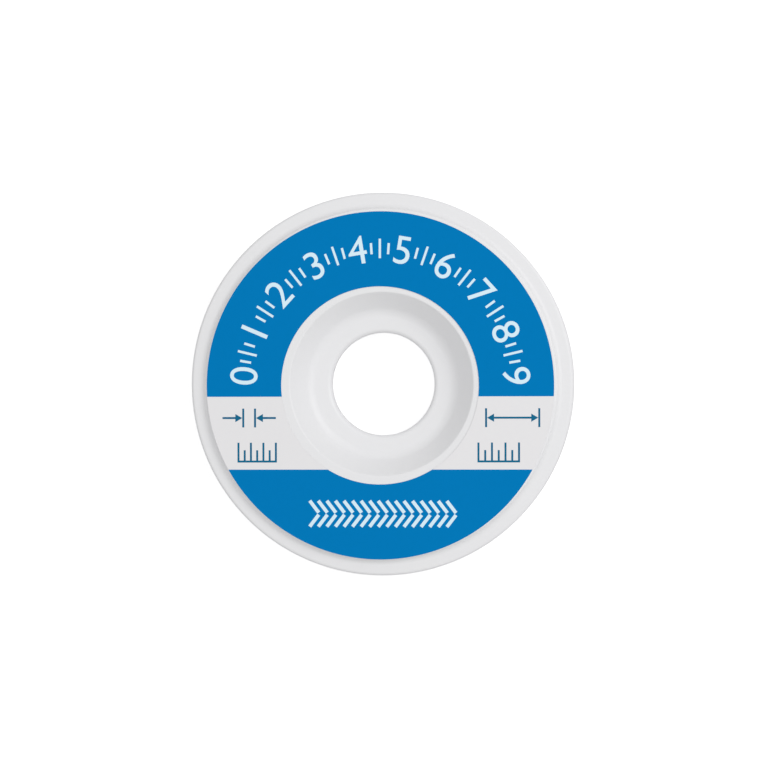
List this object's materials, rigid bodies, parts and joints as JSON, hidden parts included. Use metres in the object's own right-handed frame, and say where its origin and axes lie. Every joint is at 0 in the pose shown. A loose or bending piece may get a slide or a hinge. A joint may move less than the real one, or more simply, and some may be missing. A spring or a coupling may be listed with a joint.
{
  "type": "desoldering braid on its bobbin",
  "caption": "Flat copper desoldering braid wound in the groove of a thin white plastic bobbin with a dished centre, a round hole and a ring-shaped label.",
  "frame": {"origin": "on the bobbin's axis, at the plane of the back face that the bobbin lies on", "axes": "+Z along the bobbin's axis, out of the labelled face; +Y towards the top of the label"},
  "size_m": [0.055, 0.055, 0.0098],
  "materials": {
    "white_plastic": "moulded, satin",
    "copper_braid": "woven bare copper",
    "label_paper": "printed, blue with a white band"
  },
  "bodies": {
    "root": {"bobbin_front": "white_plastic", "bobbin_back": "white_plastic", "braid_winding": "copper_braid", "label": "label_paper"}
  },
  "joints": []
}
